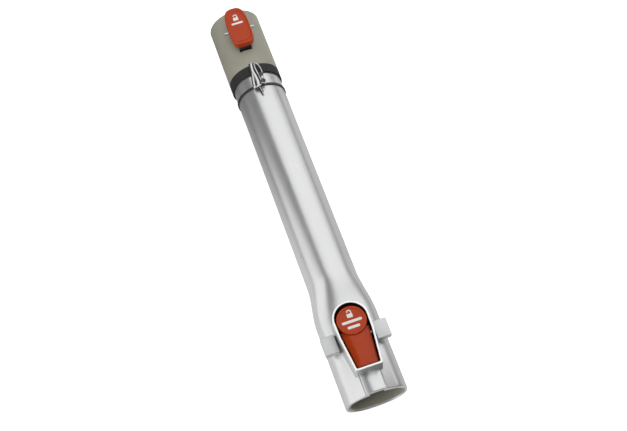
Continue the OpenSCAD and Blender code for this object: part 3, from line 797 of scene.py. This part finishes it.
def plate_body():
    """The plate as a solid, with a rounded upper edge."""
    def crowned(inset, drop):
        return [Vector((x, y, plate_top(x, y) - drop)) for x, y in plate_outline(inset)]

    edge = 0.45
    rings = [lifted(plate_outline(0), WB_CAP_LOW), crowned(0, edge)]
    rings += [crowned(edge * run, edge * low) for run, low in quarter(4)]
    middle = (PLATE_END + PLATE_NECK) / 2
    for share in (0.9, 0.75, 0.6, 0.45, 0.3, 0.15, 0.05):
        ring = [(x * share, mix(middle, y, share)) for x, y in plate_outline(edge)]
        rings.append([Vector((x, y, plate_top(x, y))) for x, y in ring])
    return loft(rings)


def pad_outline(inset):
    return arc(0, PAD_Y, PAD_R - inset, 0, 360 - 360 / 96, 95)


def wand_button():
    pad = cap(pad_outline, (0, PAD_Y), WB_CAP_LOW, WB_PAD_Z, pad_top)
    inner = plate_outline(CAP_WALL)
    under_top = [Vector((x, y, plate_top(x, y) - 1.3)) for x, y in inner]
    hollow = loft([lifted(inner, WB_CAP_LOW - 1), under_top])
    inner_pad = pad_outline(CAP_WALL)
    hollow_pad = loft([lifted(inner_pad, WB_CAP_LOW - 1.2), lifted(inner_pad, WB_CAP_LOW + CAP_HOLLOW)])
    bm = carve(pad, ("UNION", plate_body()), ("DIFFERENCE", hollow), ("DIFFERENCE", hollow_pad))
    to_scene("wand_button_cap", bm, RED, "wand_rocker", ["wand_button"])


# Prints on the buttons.
def printed(name, shapes, height, body):
    """Flat outlines laid on a button's face as a thin layer of ink."""
    parts = []
    ink, clear = 0.05, 0.01
    for outline in shapes:
        bm = loft([lifted(outline, 0), lifted(outline, ink)])
        bmesh.ops.triangulate(bm, faces=[f for f in bm.faces if len(f.verts) > 4])
        for v in bm.verts:
            v.co.z += height(v.co.x, v.co.y) + clear
        parts.append(bm)
    to_scene(name, joined(*parts), PRINT, body)


def pill(cx, cy, half_w, half_h):
    """Outline of a bar with round ends."""
    return (arc(cx + half_w - half_h, cy, half_h, -90, 90, 10)
            + arc(cx - half_w + half_h, cy, half_h, 90, 270, 10))


def padlock(cx, cy, size):
    """Open padlock: a body and a shackle whose left leg hangs free over it."""
    w, h = 0.35 * size, 0.25 * size
    base = cy - 0.24 * size
    corner = 0.07 * size
    body = []
    for x, y, a in ((w, -h, -90), (w, h, 0), (-w, h, 90), (-w, -h, 180)):
        sx, sy = math.copysign(corner, x), math.copysign(corner, y)
        body += arc(cx + x - sx, base + y - sy, corner, a, a + 90, 4)
    r, t = 0.22 * size, 0.065 * size
    sx, sy = cx + 0.02 * size, base + h + 0.2 * size
    left, right = sx - r, sx + r
    outer = [(right + t, base + h - 0.02)] + arc(sx, sy, r + t, 0, 180, 14)
    inner = arc(sx, sy, r - t, 180, 0, 14) + [(right - t, base + h - 0.02)]
    return [body, outer + [(left - t, sy - 0.03 * size), (left + t, sy - 0.03 * size)] + inner]


def prints():
    printed("handle_button_print", padlock(0, HB_MID + 9.25, 6.2)
            + [pill(0, HB_MID + 3.2, 4.95, 0.95)], handle_top, "handle_rocker")
    printed("wand_button_print", padlock(0, PAD_Y + 5.4, 6.2)
            + [pill(0, PAD_Y - 0.8, 7.7, 1.05), pill(0, PAD_Y - 5.2, 4.8, 1.05)], pad_top, "wand_rocker")


# Bores and trim.
def socket_liner():
    y0, y1 = Y_MOUTH + 0.6, Y_MOUTH + 58.6
    out, wall = SOCKET_WALL + FIT, LINER_WALL
    rings = [section(y1, out), section(y0 + 0.4, out), section(y0 + 0.1, out + 0.15)]
    rings += [section(y0, out + 0.4), section(y0, out + wall - 0.5)]
    rings += [section(y0 + 0.15, out + wall - 0.15), section(y0 + 0.5, out + wall)]
    rings += [section(y, out + wall) for y in stations(y0 + 0.5, y1, 6)]
    bm = carve(closed_loft(rings), *key_way())
    to_scene("socket_liner_skin", bm, LINER, "wand", ["socket_liner"])


def handle_sleeve():
    y0, y1 = span("handle_sleeve", 1)
    y_relief, y_entry = HB_LOW - 1.1, HB_LOW + 7.2
    out = CHAMBER_R - FIT
    entry, relief = SLEEVE_R + 0.15, SLEEVE_R + 0.4
    profile = [(SLEEVE_R, y0), (out, y0), (out, y1 - 0.4), (out - 0.3, y1), (SLEEVE_R + 1.3, y1),
               (SLEEVE_R + 0.9, y1 - 0.2), (entry, y1 - 0.9), (entry, y_entry),
               (relief, y_entry), (relief, y_relief), (SLEEVE_R, y_relief)]
    bm = carve(turned(profile), handle_window())
    to_scene("handle_sleeve_skin", bm, LINER, "wand", ["handle_sleeve"])


def smoothed(node, material, body):
    """Copy of a CAD node with its corners merged, so that its round faces shade smoothly."""
    bm = bmesh.new()
    bm.from_mesh(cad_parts[node].data)
    bmesh.ops.transform(bm, verts=bm.verts[:], matrix=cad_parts[node].matrix_world)
    bmesh.ops.remove_doubles(bm, verts=bm.verts[:], dist=1e-6)
    to_mm = Matrix.Translation((0, 0, -AXIS)) @ Matrix.Scale(1 / MM, 4)
    bmesh.ops.transform(bm, verts=bm.verts[:], matrix=to_mm)
    to_scene(node + "_skin", bm, material, body, [node])


def hidden_works():
    for node in ("neck_seal", "handle_seal"):
        smoothed(node, RUBBER, "wand")
    smoothed("collar_lock_ring", LATCH, "wand")
    smoothed("wand_lever", LATCH, "wand_rocker")
    smoothed("handle_lever", LATCH, "handle_rocker")
    smoothed("wand_button_pin", STEEL, "wand")
    smoothed("handle_button_pin", STEEL, "wand")


def coil_spring(name, node, joint, turns):
    """Return spring, coiled within its CAD node's box."""
    (x0, x1), (y0, y1), (z0, z1) = (span(node, axis) for axis in range(3))
    wire, per_turn, spare = 0.35, 24, 0.12
    r, y_mid, low, high = (x1 - x0) / 2 - wire, (y0 + y1) / 2, z0 - AXIS + wire, z1 - AXIS - wire
    steps = round(turns * per_turn)
    path = []
    for k in range(steps + 1):
        a = turn(k, per_turn)
        path.append(Vector((r * math.cos(a), y_mid + r * math.sin(a), mix(low, high, ease(k / steps)))))
    coil = bar(path, wire, wire, lambda p: Vector((p.x, p.y - y_mid, 0)).normalized())
    obj = to_scene(name, coil, STEEL, "wand", [node])
    pin_y = (HB_PIN if joint == "handle_button_rock" else WB_PIN)[0]
    drop = (abs(y_mid - pin_y) + r + wire) * math.sin(math.radians(ROCK)) + spare
    y_mid * MM
    1 - drop / (z1 - z0)
    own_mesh(obj)


def bar(path, half_width, half_height, normal, taper=None, around=12):
    """Rounded bar along a path; normal(point) points away from the surface that it lies on."""
    rings = []
    last = len(path) - 1
    for k, centre in enumerate(path):
        along = (path[min(k + 1, last)] - path[max(k - 1, 0)]).normalized()
        up = normal(centre)
        up = (up - along * up.dot(along)).normalized()
        side = along.cross(up)
        w = half_width * (taper(k / last) if taper else 1)
        ring = [(side * w * math.cos(turn(i, around)), up * half_height * math.sin(turn(i, around)))
                for i in range(around)]
        ends = [(0, 1)]
        if k == 0:
            ends = [(-math.cos(math.radians(a)), math.sin(math.radians(a))) for a in (12, 35, 60, 90)]
        if k == last:
            ends = [(math.cos(math.radians(a)), math.sin(math.radians(a))) for a in (90, 60, 35, 12)]
        for ahead, scale in ends:
            middle = centre + along * ahead * min(w, half_height)
            rings.append([middle + s * scale + u * scale for s, u in ring])
    return loft(rings)


def through(points, n=24):
    """Smooth run of points through the given ones."""
    pts = [Vector(p) for p in points]
    pts = [2 * pts[0] - pts[1]] + pts + [2 * pts[-1] - pts[-2]]
    out = []
    spans = len(pts) - 3
    for k in range(n + 1):
        t = k / n * spans
        i = min(int(t), spans - 1)
        t -= i
        a, b, c, d = pts[i:i + 4]
        out.append(((2 * b) + (c - a) * t + (2 * a - 5 * b + 4 * c - d) * t * t
                    + (3 * b - a - 3 * c + d) * t ** 3) / 2)
    return out


def radial(p):
    return Vector((p.x, 0, p.z)).normalized()


def on_collar(x, y, height):
    """Point at a height over the collar's surface."""
    z = collar_top(x, y)
    return Vector((x, y, z)) + Vector((x, 0, z)).normalized() * height


def clip_bar(points, half_width, half_height, height, taper=None):
    path = [on_collar(p.x, p.y, height) for p in through([(x, y, 0) for x, y in points])]
    return bar(path, half_width, half_height, radial, taper, 16)


def tool_clip():
    """Two sprung fingers on a bridge with a stem, outlined by near-black bars under them that paint the
    shade in the grooves.
    """
    long_finger = [(-0.95, 118.6), (-1.5, 114.5), (-1.75, 110.6), (-1.1, 106.0), (-0.75, 100.0),
                   (-1.3, 96.6)]
    short_finger = [(-2.55, 109.6), (-3.1, 106.5), (-3.8, 102.5), (-4.4, 98.6), (-4.5, 96.8)]
    inner_rib = [(1.35, 117.2), (1.1, 112.5), (1.75, 107.0), (2.2, 101.0)]
    bridge = [(-5.3, 96.2), (-3.4, 95.6), (-1.2, 95.6), (0.6, 96.4)]
    stem = [(-0.8, 94.6), (-0.4, 91.8), (0.0, 89.6)]
    silver = [clip_bar(long_finger, 1.15, 0.85, 0.15, lambda t: 0.9 + 0.3 * t),
              clip_bar(short_finger, 0.85, 0.75, 0.1, lambda t: 0.55 + 0.55 * ease(2 * t)),
              clip_bar(inner_rib, 0.55, 0.6, 0.0),
              clip_bar(bridge, 0.7, 0.5, 0.05),
              clip_bar(stem, 0.3, 0.4, 0.0)]
    to_scene("clip_fingers", joined(*silver), SILVER_CLIP, "wand", ["tool_clip"])
    # The bumps take the lighter silver of the rims: a painted highlight.
    bumps = [clip_bar([(x, y - 0.15), (x, y + 0.15)], 1.1, 1.05, 0.3)
             for x, y in ((-4.7, 95.9), (-1.6, 96.1))]
    to_scene("clip_bumps", joined(*bumps), RIM, "wand")
    # Near-black bars a little wider than the fingers, sunk under them: painted shade in the grooves round
    # the fingers.
    dark = [clip_bar(points, half, 0.34, -0.12) for points, half in
            ((long_finger, 1.95), (short_finger, 1.5), (inner_rib, 1.15), (stem, 1.15), (bridge, 1.2))]
    to_scene("clip_painted_groove_shade", joined(*dark), PAINTED_SHADE, "wand")


def clip_hoop():
    """Wire hoop beside the fingers, with its free end by the lower screw."""
    points = [(1.9, 118.2), (3.4, 117.4), (4.75, 114.6), (5.35, 110.5), (5.2, 105.0), (4.9, 100.0),
              (4.3, 96.4)]
    to_scene("clip_hoop", clip_bar(points, 0.42, 0.42, 0.22), SILVER_CLIP, "wand", ["clip_wire"])


def domed_head(r):
    """Screw head with a rounded top and a cross slot, standing on z = 0."""
    head = bmesh.new()
    bmesh.ops.create_circle(head, cap_ends=True, radius=r, segments=40)
    rim = head.edges[:]
    for height, share in ((0.35, 1.0), (0.6, 0.93), (0.82, 0.75), (0.95, 0.5), (1.0, 0.2)):
        out = bmesh.ops.extrude_edge_only(head, edges=rim)["geom"]
        rim = [g for g in out if isinstance(g, bmesh.types.BMEdge)]
        for v in {v for e in rim for v in e.verts}:
            flat = Vector((v.co.x, v.co.y)).normalized() * r * share
            v.co = (flat.x, flat.y, height)
    bmesh.ops.contextual_create(head, geom=rim)
    bmesh.ops.recalc_face_normals(head, faces=head.faces[:])
    reach, half = 1.0, 0.17
    return carve(head, ("DIFFERENCE", brick(-reach, reach, -half, half, 0.55, 2)),
                 ("DIFFERENCE", brick(-half, half, -reach, reach, 0.55, 2)))


def clip_screw(node):
    """Screw head in its place beside the fingers, square to the collar."""
    (y0, y1), (_, z1) = span(node, 1), span(node, 2)
    x, sunk_by, proud = 3.6, 0.75, 0.12
    head = domed_head((y1 - y0) / 2)
    bmesh.ops.translate(head, verts=head.verts[:], vec=(0, 0, z1 - AXIS - sunk_by + proud))
    tilt = math.asin(x / COLLAR_WAIST_R)
    bmesh.ops.rotate(head, verts=head.verts[:], matrix=Matrix.Rotation(tilt, 3, "Y"))
    bmesh.ops.translate(head, verts=head.verts[:], vec=(0, (y0 + y1) / 2, 0))
    to_scene(node + "_head", head, SCREW, "wand", [node])


# Camera, floor and light.
FLOOR_SIZE = 3.0                     # metres
FLOOR_GLOW, FLOOR_SHINE = 0.80, 0.28 # glow that the camera sees, and glow in reflections
FLOOR_LEFT, FLOOR_FAR_LEFT, FLOOR_RIGHT = 0.82, 0.14, 0.70   # its levels in reflections
ROOM = 0.13                          # level of the room round the lamps
# name, place in metres, direction it faces, direction of its length, width, length, radiance
LAMPS = [("overhead", (0.635, 0.63, 0.95), (0, 0, -1), (-0.33, 0.94, 0), 1.93, 1.92, 1.25),
         ("left_wall", (-0.90, -0.36, 0.74), (1, 0, 0), (0, 1, 0), 1.46, 1.76, 1.25),
         ("front_card", (-0.455, -0.98, 0.30), (0, 1, 0), (1, 0, 0), 0.58, 0.87, 0.60),
         ("right_wall", (0.98, 0.70, 0.42), (-1, 0, 0), (0, 1, 0), 0.45, 1.20, 0.85)]
FOCAL_PX = 1160.0
IMAGE_W = 627.0


def camera():
    """The photograph's camera: its place, and the directions of its image axes, in the wand's frame."""
    place = Vector((-94.6, -425.65, 835.31))
    right = Vector((0.94509, -0.32359, -0.04580))
    back = Vector((-0.10916, -0.44464, 0.88903))
    up = back.cross(right)
    data = bpy.data.cameras.new("camera")
    data.sensor_width = 36
    data.lens = FOCAL_PX / IMAGE_W * data.sensor_width
    obj = bpy.data.objects.new("camera", data)
    bpy.context.collection.objects.link(obj)
    turned_to = Matrix((right, up, back)).transposed().to_4x4()
    obj.matrix_world = Matrix.Translation(place * MM) @ turned_to
    bpy.context.scene.camera = obj


def soft_box(name, place, facing, along, width, length, radiance):
    """Rectangular lamp of even radiance, such as a soft box or a lit card."""
    data = bpy.data.lights.new(name, "AREA")
    data.shape, data.size, data.size_y = "RECTANGLE", width, length
    data.energy = radiance * math.pi * width * length
    obj = bpy.data.objects.new(name, data)
    bpy.context.collection.objects.link(obj)
    back = -Vector(facing).normalized()
    side = Vector(along).cross(back).normalized()
    turned_to = Matrix((side, back.cross(side), back)).transposed().to_4x4()
    obj.matrix_world = Matrix.Translation(place) @ turned_to


def floor_material():
    """Floor that the camera sees white with a soft shadow; in reflections it is dim at the far left."""
    f = Finish("floor_white", Roughness=0.9)
    f.shader.inputs["Specular IOR Level"].default_value = 0.0
    split = f.tree.nodes.new("ShaderNodeSeparateXYZ")
    f.tree.links.new(f.place.socket, split.inputs[0])
    # The level changes within 12 cm from left to right, and within 20 cm away from the camera.
    across = (Value(f.tree, split.outputs["X"]) * 8.0 + 0.5).clamp()
    away = (Value(f.tree, split.outputs["Y"]) * 5.0 + 0.2).clamp()
    left = f.blend(away, grey(FLOOR_LEFT), grey(FLOOR_FAR_LEFT))
    card = f.blend(across, left, grey(FLOOR_RIGHT))
    path = f.tree.nodes.new("ShaderNodeLightPath")
    seen = Value(f.tree, path.outputs["Is Camera Ray"])
    f.drive(Base_Color=f.blend(seen, card, grey(0.82)),
            Emission_Color=f.blend(seen, f.blend(FLOOR_SHINE, grey(0.0), card), grey(FLOOR_GLOW)))
    f.shader.inputs["Emission Strength"].default_value = 1.0
    return f.material


def white_floor():
    floor = bmesh.new()
    bmesh.ops.create_grid(floor, x_segments=1, y_segments=1, size=FLOOR_SIZE)
    mesh = bpy.data.meshes.new("floor")
    floor.to_mesh(mesh)
    floor.free()
    obj = bpy.data.objects.new("floor", mesh)
    bpy.context.collection.objects.link(obj)
    mesh.materials.append(floor_material())


def room():
    """White to the camera, dim to all else."""
    world = bpy.data.worlds.new("studio")
    bpy.context.scene.world = world
    world.use_nodes = True
    tree = world.node_tree
    background = tree.nodes["Background"]
    background.inputs["Color"].default_value = grey(1.0)
    path = tree.nodes.new("ShaderNodeLightPath")
    strength = Value(tree, path.outputs["Is Camera Ray"]) * (1 - ROOM) + ROOM
    tree.links.new(strength.socket, background.inputs["Strength"])
    bpy.context.scene.view_settings.view_transform = "Standard"


camera()
white_floor()
room()
for lamp in LAMPS:
    soft_box(*lamp)
wand_shell()
collar_shell()
socket_liner()
handle_button()
wand_button()
prints()
handle_sleeve()
hidden_works()
coil_spring("handle_button_coil", "handle_button_spring", "handle_button_rock", 3.5)
coil_spring("wand_button_coil", "wand_button_spring", "wand_button_rock", 4.5)
tool_clip()
clip_hoop()
clip_screw("clip_screw_upper")
clip_screw("clip_screw_lower")
